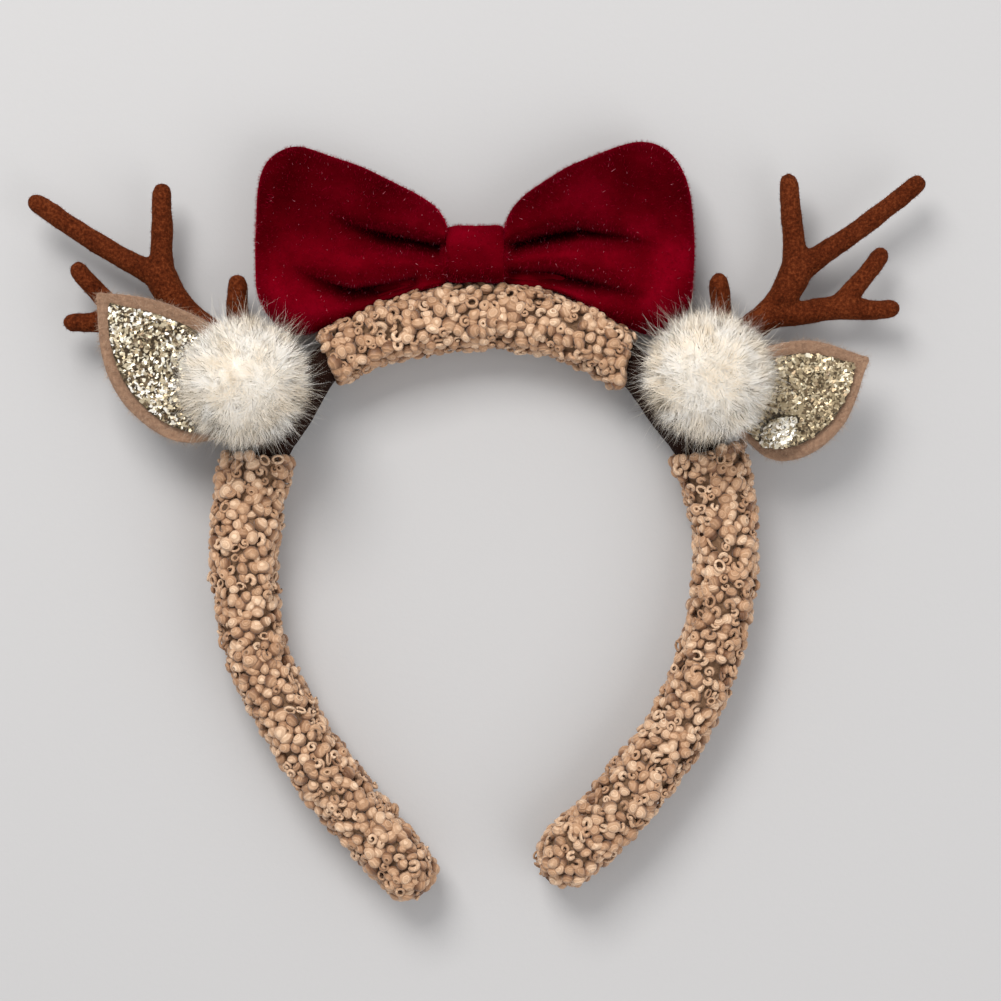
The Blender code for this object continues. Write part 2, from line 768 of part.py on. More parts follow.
def build_pompom(band, side, parts, material):
    """A ball of locks on one head, pressed flat where it sits on the ear's root."""
    point, outward = band.at(SIDES[side]["sign"] * SIDES[side]["pompom_seat"])[:2]
    seat = glitter_top() + CLEARANCE
    middle = point + outward * SIDES[side]["pompom_out"] + Vector((0, 0, seat + POMPOM_SUNK))
    bm = bmesh.new()
    bmesh.ops.create_icosphere(bm, subdivisions=3, radius=POMPOM_RADIUS - LOCK_DEPTH)
    locks = bmesh.ops.poke(bm, faces=bm.faces[:])["verts"]
    for lock in locks:
        uneven = noise.noise(lock.co / LOCK_DEPTH + point) * LOCK_DEPTH / 3
        lock.co = lock.co.normalized() * (POMPOM_RADIUS + uneven)
    bmesh.ops.transform(bm, matrix=Matrix.Translation(middle), verts=bm.verts)
    cut = bmesh.ops.bisect_plane(
        bm, geom=bm.verts[:] + bm.edges[:] + bm.faces[:],
        plane_co=(0, 0, seat), plane_no=(0, 0, -1), clear_outer=True)
    rim = [edge for edge in cut["geom_cut"] if isinstance(edge, bmesh.types.BMEdge)]
    bmesh.ops.contextual_create(bm, geom=rim)
    bmesh.ops.recalc_face_normals(bm, faces=bm.faces)
    name = f"pompom_{side}"
    add_object(name, mesh_from(bm, name, math.radians(80)), parts, material)


def move_to_origin(parts):
    """Hang every piece on an empty that brings the box's bottom centre to the origin."""
    depsgraph = bpy.context.evaluated_depsgraph_get()
    corners = []
    for piece in parts.objects:
        shown = piece.evaluated_get(depsgraph)
        mesh = shown.to_mesh()
        corners += [shown.matrix_world @ vert.co for vert in mesh.vertices]
        shown.to_mesh_clear()
    low = Vector([min(corner[k] for corner in corners) for k in range(3)])
    high = Vector([max(corner[k] for corner in corners) for k in range(3)])
    holder = bpy.data.objects.new("headband_frame", None)
    bpy.context.scene.collection.objects.link(holder)
    holder.location = (-(low.x + high.x) / 2, -(low.y + high.y) / 2, -low.z)
    for collection in bpy.context.scene.collection.children:
        for piece in collection.objects:
            piece.parent = holder


def build_headband():
    clear_scene()
    parts = new_collection("reindeer_antler_headband")
    cutters = new_collection("cutters")
    finish = {name: finish_material(name) for name in FINISHES}
    band = BandLine()
    build_core(band, parts, finish["band_cloth"])
    build_crown_sleeve(band, parts, finish["curly_pile"])
    build_knot(band, parts, finish["red_velvet"])
    for side in SIDES:
        build_leg_sleeve(band, side, parts, finish["curly_pile"])
        build_wing(band, side, parts, finish["red_velvet"])
        build_antler(band, side, parts, cutters, finish["brown_flock"])
        build_ear(band, side, parts, finish["tan_felt"], finish["gold_glitter"])
        build_pompom(band, side, parts, finish["white_fur"])
    build_fold(band, parts, finish["gold_glitter"])
    move_to_origin(parts)


build_headband()
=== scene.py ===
"""Looks of the reindeer antler headband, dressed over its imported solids.

Metres, in the solids' own frame. +Y runs from the band's open end to the bow and
+Z is up, out of the headband's front. The headband lies on its back on the floor.
"""

import json
import math

import bmesh
import bpy
import numpy as np
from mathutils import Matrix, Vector, noise
from mathutils.bvhtree import BVHTree

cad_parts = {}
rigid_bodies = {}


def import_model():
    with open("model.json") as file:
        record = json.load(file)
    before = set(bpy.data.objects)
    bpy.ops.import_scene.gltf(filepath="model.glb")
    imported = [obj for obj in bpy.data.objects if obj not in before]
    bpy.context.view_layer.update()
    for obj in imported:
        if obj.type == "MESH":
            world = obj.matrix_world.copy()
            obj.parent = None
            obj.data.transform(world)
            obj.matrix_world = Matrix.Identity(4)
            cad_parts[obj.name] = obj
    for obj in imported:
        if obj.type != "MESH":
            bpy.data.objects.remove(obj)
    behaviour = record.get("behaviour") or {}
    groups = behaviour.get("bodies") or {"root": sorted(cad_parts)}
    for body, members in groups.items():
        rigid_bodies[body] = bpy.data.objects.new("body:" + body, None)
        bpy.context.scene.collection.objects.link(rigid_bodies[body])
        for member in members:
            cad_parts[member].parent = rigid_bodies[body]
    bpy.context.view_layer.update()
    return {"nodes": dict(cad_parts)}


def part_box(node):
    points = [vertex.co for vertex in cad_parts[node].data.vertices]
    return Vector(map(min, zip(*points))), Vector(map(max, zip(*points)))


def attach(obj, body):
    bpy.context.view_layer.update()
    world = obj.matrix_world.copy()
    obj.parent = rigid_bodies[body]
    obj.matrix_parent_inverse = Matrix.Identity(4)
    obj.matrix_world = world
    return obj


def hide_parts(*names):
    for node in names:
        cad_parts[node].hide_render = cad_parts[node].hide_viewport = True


# Camera, straight above the floor
CAMERA_HEIGHT = 0.900
VIEW_WIDTH = 0.2840         # of the floor, across the picture
VIEW_CENTRE = (0.0066, 0.0057)
SENSOR = 0.036              # width

# Curly pile
YARN = 0.00046              # radius
CURL = 0.00198              # radius of a plump curl
CURL_RISE = 0.00190         # of its top over its widest part
CURL_SPACING = 0.00216
CURL_TRIES = 26000          # random spots, thinned to the spacing
CURL_LEAN = math.radians(38)
LEAN_MOST = 1.3             # share of its usual lean that a curl or shard never passes
CURL_SIZES = (0.80, 1.15)
CURL_SIDES = 5
CURL_STEPS = 13
CURL_KINDS = ("ball",) * 15 + ("coil",) * 3 + ("crescent",) * 3 + ("ring",)
BALL_SIDES = 10
BALL_TILTS = (16, 32, 49, 67, 87, 110, 140)  # degrees from the top of a ball to its rings
BALL_SQUEEZES = (0.68, 0.98)
BALL_RISES = (0.90, 1.10)
BALL_LUMPS = (0.08, 0.06)   # two and three to a ball
# Radius and height of a ball's innermost ring, as shares of its own, to choose from
BALL_TOPS = ((0.015, 0.99),) * 4 + ((0.11, 0.45),)
WRAP = 0.62                 # angle from one turn of a ball's yarn to the next, radians
WRAP_LOOSE = 7.0            # how far the turns wander, radians
CURL_LOW = 0.00220          # deepest seat of a curl's widest part under the sleeve's outline
CURL_HIGH = 0.00055         # and its highest seat
BACKING_DEPTH = 0.0019      # of the backing, below the sleeve's outline
GIRTH = 0.062               # round a sleeve
SKIN = 0.0002               # a ray from the sleeve starts this far off it
CORE_REACH = 0.0015         # a sleeve's outside lies further than this from the core

# Fur balls
FUR_COUNT = 16500           # hairs of a whole ball, before its seat is cut off
FUR_WIDTH = 0.00014
FUR_WIDTHS = (0.7, 1.2)     # shares of that width
FUR_SPANS = 3               # faces along a hair
TAPER = 0.7                 # of every hair and fibre, 1 for an even one
HEAD_VOXEL = 0.0012
HEAD_ROUNDS = 14            # of smoothing
FUR_HEAD = 0.86             # radius of the head under the fur, as a share of the ball's
FUR_ROOT = 0.80             # of the hairs' roots
FUR_REACH = (0.94, 1.10)    # and of their ends
GUARD_REACH = (1.08, 1.46)  # of the ends of long hairs
GUARD_SHARE = 0.10          # of the hairs are long ones
GUARD_WIDTH = 0.7           # shares of the width and gathering of the others
GUARD_GATHER = 0.4
FUR_CLUMPS = 800
FUR_GATHER = (0.1, 0.5)     # how far hairs turn to the middle of their clump
FUR_COMB = 0.11             # how far a clump is combed sideways
FUR_STRAY = 0.09            # and a single hair
FUR_STRAIGHT = 0.7          # share of a hair's way that it grows straight out
FUR_ROOT_SEAT = 0.0004      # lowest roots and ends, over the ball's flat seat
FUR_END_SEAT = 0.0006
SEAT_MARGIN = 1.15          # hair that points further down than this times the seat is left out
SEAT_FADE = 0.004           # the head narrows over this height
FUR_TURN = 0.12             # how far a hair's flat side turns from the outside
GUARD_TURN = 1.5            # and a long one's
FUR_GLINT = 0.14            # how much the light differs from hair to hair
FUR_LIFT = 0.60             # how far the fur catches light from above

# Short fibres. Columns: count, length, width and how far they lean.
FIBRES = {
    "wing": (30000, 0.00090, 0.00012, 0.5),
    "knot": (5000, 0.00090, 0.00011, 0.4),
    "antler": (9000, 0.00060, 0.00010, 0.7),
    "felt": (9000, 0.00120, 0.00009, 1.3),
}
FIBRE_SIZES = (0.6, 1.25)
FIBRE_BEND = 0.3            # shares of a fibre's length
FIBRE_ROOT = 0.15
FLOCK_DEPTH = 0.00050       # of the flock over an antler's solid
TINE_VOXEL = 0.00080
TINE_ROUNDS = 8

# Glitter
FLAKE = 0.00086             # half a shard's length
FLAKE_SIDES = 5
FLAKE_SHAPES = 12
FLAKE_SPACING = 0.00052
FLAKE_TRIES = 60000         # random spots, thinned to the spacing
FLAKE_LEAN = math.radians(19)
FLAKE_SIZES = (0.45, 1.15)
FLAKE_WIDTHS = (0.34, 0.75)  # half a shard's width over half its length
FLAKE_CORNER = 0.3          # how uneven its corners are
FLAKE_LIFT = 0.00012        # over the sheet
SHEET_UP = 0.93             # least Z of a normal on a sheet's front
LEAF_UP = 0.25              # and on the raised leaf's
CUT_SHADOW = 0.00035        # bare strip along the sheet's cut edge, where the dark sheet shows as painted shadow
LEAF_SHADOW = 0.0015        # and round the raised leaf, as painted shadow

BANDS = 3                   # in one unit of a wave texture
PAINTED_SHADING = "nap"                 # painted light and shade of the velvet at each point, darkest in a fold
HEIGHT = "height"           # a curl's height at each point, 1 at the top of a ball

# Unevenness of each surface. Columns: depth, size of its bumps and seed.
LUMPS = {
    "band": ((0.00020, 0.0060, 0.0), (0.00012, 0.0022, 5.0)),
    "wing": ((0.00040, 0.0130, 3.0),),
    "knot": ((0.00020, 0.0050, 2.0),),
    "pompom": ((0.00060, 0.0035, 6.0),),
    "antler": ((0.00030, 0.0060, 1.0), (0.00010, 0.0016, 4.0)),
    "felt": ((0.00012, 0.0022, 2.0),),
}

# First seed of the random draws of each kind of piece
SEEDS = {"sleeve": 11, "wing": 21, "knot": 31, "antler": 41, "ear": 51, "pompom": 61}

WELD = 1e-5                 # corners of a solid that are this close are one
PAIR_TURN = math.radians(50)  # two triangles that differ less become a quad
PAIR_SKEW = math.radians(60)
SHARP = math.radians(62)    # an edge that turns more stays crisp
BAND_SHARP = math.radians(80)
WING_SHARP = math.radians(88)
FELT_CREASE = 0.72          # how crisp the edges of felt and glitter sheets stay
SHEET_CREASE = 0.75
FLOOR_GAP = 0.00015         # under what rests on the floor
FLOOR_REACH = 3.0           # of the floor to either side


def clear_scene():
    for thing in list(bpy.data.objects):
        bpy.data.objects.remove(thing, do_unlink=True)


# Meshes

def welded(node):
    """A CAD node's mesh with its corners joined and its triangles paired into quads."""
    bm = bmesh.new()
    bm.from_mesh(frame["nodes"][node].data)
    bmesh.ops.remove_doubles(bm, verts=bm.verts, dist=WELD)
    bmesh.ops.join_triangles(
        bm, faces=bm.faces, angle_face_threshold=PAIR_TURN, angle_shape_threshold=PAIR_SKEW)
    bmesh.ops.recalc_face_normals(bm, faces=bm.faces)
    return bm


def tree_of(node):
    bm = welded(node)
    tree = BVHTree.FromBMesh(bm)
    bm.free()
    return tree


def tree_of_faces(mesh, faces):
    return BVHTree.FromPolygons([vertex.co for vertex in mesh.vertices],
                                [face.vertices[:] for face in faces])


def mesh_from_arrays(name, points, faces):
    """A mesh from an array of points and arrays of faces, one row to a face."""
    mesh = bpy.data.meshes.new(name)
    corners = np.concatenate([rows.ravel() for rows in faces])
    sizes = np.concatenate([np.full(len(rows), rows.shape[1]) for rows in faces])
    starts = np.concatenate([[0], np.cumsum(sizes)[:-1]])
    mesh.vertices.add(len(points))
    mesh.vertices.foreach_set("co", points.astype(np.float32).ravel())
    mesh.loops.add(len(corners))
    mesh.loops.foreach_set("vertex_index", corners.astype(np.int32))
    mesh.polygons.add(len(sizes))
    mesh.polygons.foreach_set("loop_start", starts.astype(np.int32))
    mesh.update(calc_edges=True)
    mesh.shade_smooth()
    return mesh


def new_piece(name, mesh, material):
    """A piece of the one body, with its material."""
    piece = bpy.data.objects.new(name, mesh)
    bpy.context.scene.collection.objects.link(piece)
    mesh.materials.clear()
    mesh.materials.append(material)
    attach(piece, "root")
    return piece


def apply_modifiers(piece):
    depsgraph = bpy.context.evaluated_depsgraph_get()
    made = bpy.data.meshes.new_from_object(piece.evaluated_get(depsgraph))
    piece.modifiers.clear()
    piece.data = made
    made.name = piece.name
    made.shade_smooth()


def smooth_piece(node, name, material, levels, crease=1.0, turn=SHARP):
    """A subdivided copy of a node that keeps the edges which turn sharply."""
    bm = welded(node)
    layer = bm.edges.layers.float.new("crease_edge")
    for edge in bm.edges:
        if len(edge.link_faces) == 2 and edge.calc_face_angle() > turn:
            edge[layer] = crease
    mesh = bpy.data.meshes.new(name)
    bm.to_mesh(mesh)
    bm.free()
    piece = new_piece(name, mesh, material)
    finer = piece.modifiers.new("finer", "SUBSURF")
    finer.levels = levels
    finer.render_levels = levels
    apply_modifiers(piece)
    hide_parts(node)
    return piece


def remeshed_piece(node, name, material, voxel, rounds):
    """A copy of a node in even small faces, with its creases smoothed over."""
    bm = welded(node)
    mesh = bpy.data.meshes.new(name)
    bm.to_mesh(mesh)
    bm.free()
    piece = new_piece(name, mesh, material)
    even = piece.modifiers.new("even", "REMESH")
    even.mode = "VOXEL"
    even.voxel_size = voxel
    soft = piece.modifiers.new("soft", "SMOOTH")
    soft.factor = 0.5
    soft.iterations = rounds
    apply_modifiers(piece)
    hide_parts(node)
    return piece


def points_of(mesh):
    points = np.zeros(len(mesh.vertices) * 3, np.float32)
    mesh.vertices.foreach_get("co", points)
    return points.reshape(-1, 3).astype(float)


def normals_of(mesh):
    normals = np.zeros(len(mesh.vertices) * 3, np.float32)
    mesh.vertex_normals.foreach_get("vector", normals)
    return normals.reshape(-1, 3).astype(float)


def set_points(mesh, points):
    mesh.vertices.foreach_set("co", points.astype(np.float32).ravel())
    mesh.update()


def paint(mesh, name, tones):
    """A grey value at each point, for the material to read."""
    layer = mesh.color_attributes.new(name, "FLOAT_COLOR", "POINT")
    colours = np.ones((len(tones), 4), np.float32)
    colours[:, :3] = tones[:, None]
    layer.data.foreach_set("color", colours.ravel())


def noise_at(points, size, seed=0.0):
    """Smooth noise from -1 to 1 at each point, with features of about this size."""
    return np.array([noise.noise(Vector(point / size) + Vector((seed, -seed, seed)))
                     for point in points])


def unit(rows):
    return rows / np.linalg.norm(rows, axis=1, keepdims=True)


def push(mesh, distances):
    """Move each vertex along its normal."""
    set_points(mesh, points_of(mesh) + normals_of(mesh) * distances[:, None])


def lumps(points, kind):
    """How far a kind of surface stands out at each point."""
    return sum(depth * noise_at(points, size, seed) for depth, size, seed in LUMPS[kind])


def lift_off_floor(points):
    points[:, 2] = np.maximum(points[:, 2], FLOOR_GAP)
    return points


# Spreading things over a surface

def random_on(mesh, count, rng):
    """Random points on a mesh, with the normals there."""
    mesh.calc_loop_triangles()
    corners = np.zeros(len(mesh.loop_triangles) * 3, np.int32)
    mesh.loop_triangles.foreach_get("vertices", corners)
    points, normals = points_of(mesh), normals_of(mesh)
    a, b, c = (points[corners[k::3]] for k in range(3))
    across = np.cross(b - a, c - a)
    areas = np.linalg.norm(across, axis=1)
    chosen = rng.choice(len(areas), count, p=areas / areas.sum())
    u, v = rng.random((2, count, 1))
    flip = u + v > 1
    u, v = np.where(flip, 1 - u, u), np.where(flip, 1 - v, v)
    spots = a[chosen] + (b - a)[chosen] * u + (c - a)[chosen] * v
    facing = sum(normals[corners[k::3][chosen]] for k in range(3))
    return spots, unit(facing)


def thinned(points, spacing):
    """Indices of points that keep at least a spacing between them, the first ones first."""
    cells = {}
    kept = []
    around = [(i, j, k) for i in (-1, 0, 1) for j in (-1, 0, 1) for k in (-1, 0, 1)]
    places = np.floor(points / spacing).astype(int)
    for index, (point, place) in enumerate(zip(points, places)):
        x, y, z = (int(value) for value in place)
        near = (other for i, j, k in around for other in cells.get((x + i, y + j, z + k), ()))
        if all(((point - points[other]) ** 2).sum() > spacing ** 2 for other in near):
            cells.setdefault((x, y, z), []).append(index)
            kept.append(index)
    return kept


def across_of(normals, rng):
    """A random unit direction square to each normal."""
    return unit(np.cross(normals, rng.normal(size=normals.shape)))


def frames_on(normals, rng, lean):
    """A frame for each normal, spun at random and leaning from it by about an angle."""
    side = across_of(normals, rng)
    most = LEAN_MOST * lean
    angle = np.clip(rng.normal(0.0, lean, (len(normals), 1)), -most, most)
    up = normals * np.cos(angle) + side * np.sin(angle)
    first = across_of(up, rng)
    return np.stack([first, np.cross(up, first), up], axis=2)


def copies(shapes, places, frames, sizes, rng):
    """Copies of a few shapes, each a pair of points and faces, as one set of arrays,
    and how high each point is in its own shape."""
    chosen = rng.integers(0, len(shapes), len(places))
    points, faces, heights, first = [], [], [], 0
    for index, (shape, corners) in enumerate(shapes):
        mine = chosen == index
        scaled = shape[None] * sizes[mine][:, None, None]
        put = np.einsum("nij,nkj->nki", frames[mine], scaled) + places[mine][:, None]
        starts = first + np.arange(mine.sum()) * len(shape)
        points.append(put.reshape(-1, 3))
        heights.append(np.tile(shape[:, 2], mine.sum()))
        faces.append((corners[None] + starts[:, None, None]).reshape(-1, corners.shape[1]))
        first += put.shape[0] * len(shape)
    return np.concatenate(points), np.concatenate(faces), np.concatenate(heights)


def strands(roots, aims, bends, widths, spans, rng, facing=None):
    """Tapering flat hairs. Each runs from its root to root + aim + bend, in spans,
    with its flat side towards the way that it faces, if that is given."""
    if facing is None:
        side = across_of(unit(aims), rng)
    else:
        side = unit(np.cross(aims + bends, facing))
    rows = []
    for step in range(spans):
        t = step / spans
        middle = roots + aims * t + bends * t * t
        half = side * (widths * (1 - t) ** TAPER)[:, None] / 2
        rows += [middle - half, middle + half]
    rows.append(roots + aims + bends)
    points = np.stack(rows, axis=1)
    starts = np.arange(len(roots))[:, None] * len(rows)
    quads = [starts + np.array([[2 * k, 2 * k + 1, 2 * k + 3, 2 * k + 2]])
             for k in range(spans - 1)]
    last = 2 * (spans - 1)
    ends = starts + np.array([[last, last + 1, last + 2]])
    faces = [np.concatenate(quads)] if quads else []
    return points.reshape(-1, 3), [*faces, ends]


# Materials

class Finish:
    """A material made of nodes round one Principled shader."""

    def __init__(self, name, **values):
        self.material = bpy.data.materials.new(name)
        self.material.use_nodes = True
        self.nodes = self.material.node_tree.nodes
        self.shader = self.nodes["Principled BSDF"]
        self.where = self.add("ShaderNodeTexCoord").outputs["Object"]
        self.height = None
        for socket, value in values.items():
            self.set(socket.replace("_", " ").title().replace("Ior", "IOR"), value)

    def add(self, kind, **values):
        node = self.nodes.new(kind)
        for key, value in values.items():
            setattr(node, key, value)
        return node

    def set(self, socket, value):
        self.shader.inputs[socket].default_value = value

    def link(self, start, end):
        self.material.node_tree.links.new(start, end)

    def noise(self, size, detail=4.0, roughness=0.6):
        """Noise from 0 to 1 with features of about a size, in metres."""
        node = self.add("ShaderNodeTexNoise")
        node.inputs["Scale"].default_value = 1 / size
        node.inputs["Detail"].default_value = detail
        node.inputs["Roughness"].default_value = roughness
        self.link(self.where, node.inputs["Vector"])
        return node.outputs["Fac"]

    def cells(self, size):
        """Random values that differ from one small cell to the next."""
        node = self.add("ShaderNodeTexVoronoi")
        node.inputs["Scale"].default_value = 1 / size
        self.link(self.where, node.inputs["Vector"])
        split = self.add("ShaderNodeSeparateColor")
        self.link(node.outputs["Color"], split.inputs["Color"])
        return split.outputs["Red"]

    def waves(self, size, direction):
        """Bands from 0 to 1 along X or Y, a size apart."""
        node = self.add("ShaderNodeTexWave", bands_direction=direction)
        node.inputs["Scale"].default_value = 1 / size / BANDS
        node.inputs["Distortion"].default_value = 1.2
        node.inputs["Detail"].default_value = 2.0
        self.link(self.where, node.inputs["Vector"])
        return node.outputs["Fac"]

    def painted(self, name):
        """The value that was painted on the mesh under a name."""
        return self.add("ShaderNodeAttribute", attribute_name=name).outputs["Fac"]

    def maths(self, method, value, other=0.0):
        """A value put through a method, with another value or a number where it takes two."""
        node = self.add("ShaderNodeMath", operation=method)
        self.link(value, node.inputs[0])
        if isinstance(other, bpy.types.NodeSocket):
            self.link(other, node.inputs[1])
        else:
            node.inputs[1].default_value = other
        return node.outputs["Value"]

    def each(self):
        """A random value for each loose bit of the mesh."""
        return self.add("ShaderNodeNewGeometry").outputs["Random Per Island"]

    def mix(self, first, second, share, method="MIX"):
        """Blend two values or colours, each a socket or a constant."""
        node = self.add("ShaderNodeMix", data_type="RGBA", blend_type=method)
        factor, a, b = node.inputs[0], node.inputs[6], node.inputs[7]
        for socket, value in ((factor, share), (a, first), (b, second)):
            if isinstance(value, bpy.types.NodeSocket):
                self.link(value, socket)
            elif isinstance(value, tuple):
                socket.default_value = (*value, 1.0)
            else:
                socket.default_value = value
        return node.outputs[2]

    def ramp(self, value, *stops, method="LINEAR"):
        """Colours along a value. A stop is a place and a colour."""
        node = self.add("ShaderNodeValToRGB")
        node.color_ramp.interpolation = method
        steps = node.color_ramp.elements
        while len(steps) < len(stops):
            steps.new(1.0)
        for step, (place, colour) in zip(steps, stops):
            step.position = place
            step.color = (*colour, 1.0)
        self.link(value, node.inputs["Fac"])
        return node.outputs["Color"]

    def colour(self, socket):
        self.link(socket, self.shader.inputs["Base Color"])

    def roughness(self, value, low, high):
        node = self.add("ShaderNodeMapRange")
        node.inputs["To Min"].default_value = low
        node.inputs["To Max"].default_value = high
        self.link(value, node.inputs["Value"])
        self.link(node.outputs["Result"], self.shader.inputs["Roughness"])

    def bump(self, value, depth, strength=1.0):
        """Relief of a depth in metres, over any relief that was added before."""
        node = self.add("ShaderNodeBump")
        node.inputs["Strength"].default_value = strength
        node.inputs["Distance"].default_value = depth
        self.link(value, node.inputs["Height"])
        if self.height:
            self.link(self.height, node.inputs["Normal"])
        self.height = node.outputs["Normal"]
        self.link(self.height, self.shader.inputs["Normal"])


def yarn_finish():
    made = Finish("curly_yarn", sheen_weight=0.2, sheen_roughness=0.5)
    tone = made.ramp(made.each(), (0.0, (0.45, 0.255, 0.140)), (0.45, (0.61, 0.375, 0.222)),
                     (1.0, (0.83, 0.595, 0.41)))
    # Painted shade: each curl darker towards its low sides and in the grooves between its turns of
    # yarn
    height = made.painted(HEIGHT)
    low_shade = made.ramp(height, (0.0, (0.34, 0.25, 0.18)), (0.45, (0.80, 0.75, 0.71)),
                     (0.9, (1, 1, 1)))
    turns = made.maths("MULTIPLY", made.maths("ARCCOSINE", height), 2 * math.pi / WRAP)
    loose = made.maths("MULTIPLY", made.noise(0.0015, 2.0), WRAP_LOOSE)
    wraps = made.maths("SINE", made.maths("ADD", turns, loose))
    groove_shade = made.ramp(wraps, (0.0, (0.84, 0.79, 0.74)), (0.5, (1, 1, 1)))
    made.colour(made.mix(made.mix(tone, low_shade, 1.0, "MULTIPLY"), groove_shade, 1.0, "MULTIPLY"))
    made.roughness(made.noise(0.0008), 0.36, 0.64)
    made.bump(wraps, 0.00007)
    made.bump(made.noise(0.00020, 3.0), 0.00008, 0.7)
    return made.material


def backing_shade_finish():
    # Painted shade: the backing is coloured as the yarn in shade, showing in the gaps between curls
    made = Finish("pile_backing_shade", roughness=0.95)
    made.colour(made.ramp(made.noise(0.0012), (0.3, (0.12, 0.063, 0.030)),
                          (0.7, (0.29, 0.165, 0.092))))
    made.bump(made.noise(0.0006), 0.0004)
    return made.material


def band_cloth_finish():
    made = Finish("band_weave", roughness=0.9, specular_ior_level=0.05)
    weave = made.mix(made.waves(0.00050, "X"), made.waves(0.00050, "Y"), 0.5, "MULTIPLY")
    made.colour(made.mix(
        made.ramp(weave, (0.1, (0.006, 0.0022, 0.0015)), (0.8, (0.030, 0.012, 0.008))),
        (0.018, 0.007, 0.0045), made.noise(0.003)))
    made.bump(made.noise(0.0030), 0.0004)
    made.bump(weave, 0.00015)
    return made.material


def velvet_finish():
    made = Finish("crimson_velvet", roughness=0.9, sheen_weight=0.40, sheen_roughness=0.30,
                  sheen_tint=(1.0, 0.005, 0.06, 1.0), specular_ior_level=0.0)
    nap = made.mix(made.noise(0.022, 2.0), made.noise(0.0022, 3.0), 0.22)
    tone = made.ramp(nap, (0.36, (0.048, 0.0001, 0.0015)), (0.52, (0.080, 0.0002, 0.0028)),
                     (0.66, (0.120, 0.0004, 0.005)))
    # The velvet's colour is multiplied by its painted light and shade
    painted_light = made.add("ShaderNodeAttribute", attribute_name=PAINTED_SHADING).outputs["Color"]
    made.colour(made.mix(tone, painted_light, 1.0, "MULTIPLY"))
    made.bump(made.noise(0.0040), 0.0003)
    made.bump(made.noise(0.00035, 2.0), 0.00012, 0.8)
    return made.material


def velvet_pile_finish():
    """Pile fibres, painted paler than the velvet as a highlight where the pile catches light along
    its edges, a few of them pale with lint.
    """
    made = Finish("velvet_pile", roughness=0.8, specular_ior_level=0.0)
    made.colour(made.ramp(made.each(), (0.0, (0.06, 0.0002, 0.002)), (0.5, (0.20, 0.0008, 0.010)),
                          (0.955, (0.34, 0.006, 0.03)), (0.978, (0.60, 0.22, 0.26))))
    return made.material


def fur_finish():
    made = Finish("fur_hair", roughness=0.6, specular_ior_level=0.3)
    tone = made.ramp(made.each(), (0.0, (0.96, 0.88, 0.74)), (0.12, (0.98, 0.93, 0.85)),
                     (0.6, (0.99, 0.965, 0.92)), (1.0, (0.995, 0.985, 0.965)))
    blonde = made.ramp(made.noise(0.009, 2.0), (0.38, (0.97, 0.90, 0.80)), (0.60, (1, 1, 1)))
    made.colour(made.mix(tone, blonde, 1.0, "MULTIPLY"))
    return made.material


def fur_head_finish():
    made = Finish("fur_head", roughness=0.85)
    made.colour(made.ramp(made.noise(0.0016), (0.3, (0.96, 0.90, 0.80)),
                          (0.7, (0.99, 0.97, 0.93))))
    made.bump(made.noise(0.0007), 0.0003)
    return made.material


def flock_finish():
    made = Finish("antler_flock", roughness=0.9, sheen_weight=0.12, sheen_roughness=0.4,
                  sheen_tint=(0.85, 0.30, 0.12, 1.0), specular_ior_level=0.03)
    mottle = made.mix(made.noise(0.0008, 5.0, 0.7), made.noise(0.006), 0.25)
    made.colour(made.ramp(mottle, (0.37, (0.036, 0.007, 0.0021)), (0.50, (0.088, 0.017, 0.005)),
                          (0.64, (0.175, 0.042, 0.013))))
    made.bump(made.noise(0.0011), 0.0004)
    made.bump(made.noise(0.0003), 0.00015)
    return made.material


def flock_fibre_finish():
    made = Finish("flock_fibre", roughness=0.9, specular_ior_level=0.05)
    made.colour(made.ramp(made.each(), (0.0, (0.02, 0.004, 0.0015)), (0.6, (0.095, 0.019, 0.006)),
                          (1.0, (0.26, 0.075, 0.024))))
    return made.material


def felt_finish():
    made = Finish("ear_felt", roughness=0.95, sheen_weight=0.2, sheen_roughness=0.6,
                  specular_ior_level=0.1)
    made.colour(made.ramp(made.noise(0.0011, 6.0, 0.75), (0.30, (0.185, 0.105, 0.064)),
                          (0.52, (0.296, 0.175, 0.110)), (0.75, (0.425, 0.270, 0.176))))
    made.bump(made.noise(0.0009, 6.0, 0.75), 0.00035)
    return made.material


def felt_fibre_finish():
    made = Finish("felt_fibre", roughness=0.9, sheen_weight=0.2)
    made.colour(made.ramp(made.each(), (0.0, (0.20, 0.115, 0.070)), (1.0, (0.60, 0.42, 0.29))))
    return made.material


def glitter_sheet_finish():
    made = Finish("glitter_sheet", roughness=0.4, metallic=0.5)
    # Dark, so that the sheet reads as painted shadow where the shards leave it bare
    made.colour(made.ramp(made.cells(0.0005), (0.0, (0.030, 0.020, 0.010)),
                          (0.5, (0.11, 0.08, 0.04)), (0.85, (0.34, 0.28, 0.16)), method="CONSTANT"))
    made.bump(made.cells(0.0005), 0.0003)
    return made.material


def glitter_edge_shadow_finish():
    """Painted shadow along the cut edge of the glitter sheet."""
    made = Finish("glitter_edge_shadow", roughness=0.7)
    made.colour(made.ramp(made.noise(0.0016), (0.35, (0.035, 0.022, 0.010)),
                          (0.7, (0.15, 0.10, 0.05))))
    made.bump(made.noise(0.0005), 0.0001)
    return made.material


def pale_edge_finish():
    """The raised leaf's pale cut edge."""
    made = Finish("pale_edge", roughness=0.5)
    made.colour(made.ramp(made.noise(0.0010), (0.35, (0.34, 0.30, 0.22)),
                          (0.7, (0.64, 0.61, 0.51))))
    made.bump(made.noise(0.0005), 0.0001)
    return made.material


